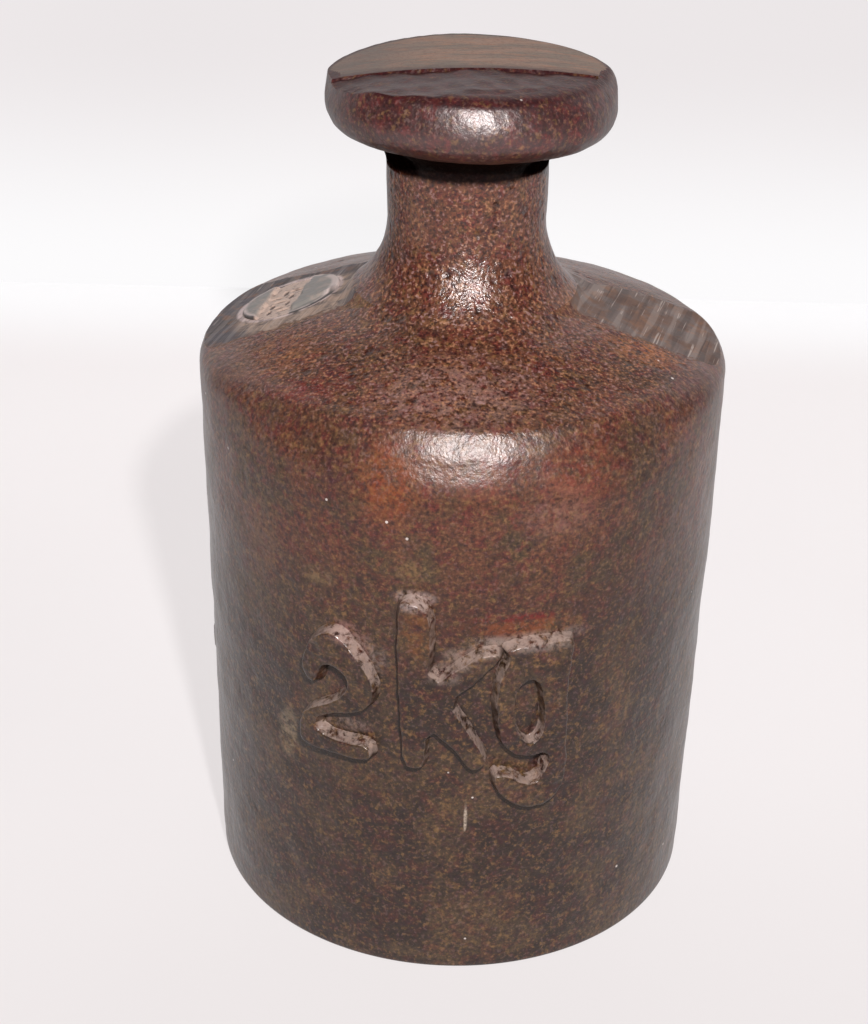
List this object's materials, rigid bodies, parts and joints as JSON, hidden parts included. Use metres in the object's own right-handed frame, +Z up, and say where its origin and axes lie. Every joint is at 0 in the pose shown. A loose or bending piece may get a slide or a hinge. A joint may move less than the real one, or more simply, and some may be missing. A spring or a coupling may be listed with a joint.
{
  "type": "scale weight",
  "caption": "Cast-iron knob weight for balances: round body with sloping shoulder, waisted neck and flat knob, lead-sealed adjusting cavity in the shoulder.",
  "frame": {"origin": "centre of the resting face", "axes": "+Z up along the axis of the weight, -Y towards the side with the raised denomination, -X towards the shoulder with the lead seal"},
  "size_m": [0.0666, 0.0666, 0.1099],
  "materials": {
    "cast_skin": "dark brown oiled sand-cast skin, rust-brown in the lows, filed bare on the shoulder strips and knob top",
    "disc_brass": "dull turned brass",
    "seal_lead": "dull grey driven lead",
    "shot_lead": "dark dull lead"
  },
  "bodies": {
    "root": {"iron_casting": "cast_skin", "closing_disc": "disc_brass", "lead_seal_plug": "seal_lead", "lead_shot_01": "shot_lead", "lead_shot_02": "shot_lead", "lead_shot_03": "shot_lead", "lead_shot_04": "shot_lead", "lead_shot_05": "shot_lead", "lead_shot_06": "shot_lead", "lead_shot_07": "shot_lead", "lead_shot_08": "shot_lead", "lead_shot_09": "shot_lead", "lead_shot_10": "shot_lead", "lead_shot_11": "shot_lead", "lead_shot_12": "shot_lead", "lead_shot_13": "shot_lead", "lead_shot_14": "shot_lead", "lead_shot_15": "shot_lead", "lead_shot_16": "shot_lead", "lead_shot_17": "shot_lead", "lead_shot_18": "shot_lead", "lead_shot_19": "shot_lead", "lead_shot_20": "shot_lead"}
  },
  "joints": []
}
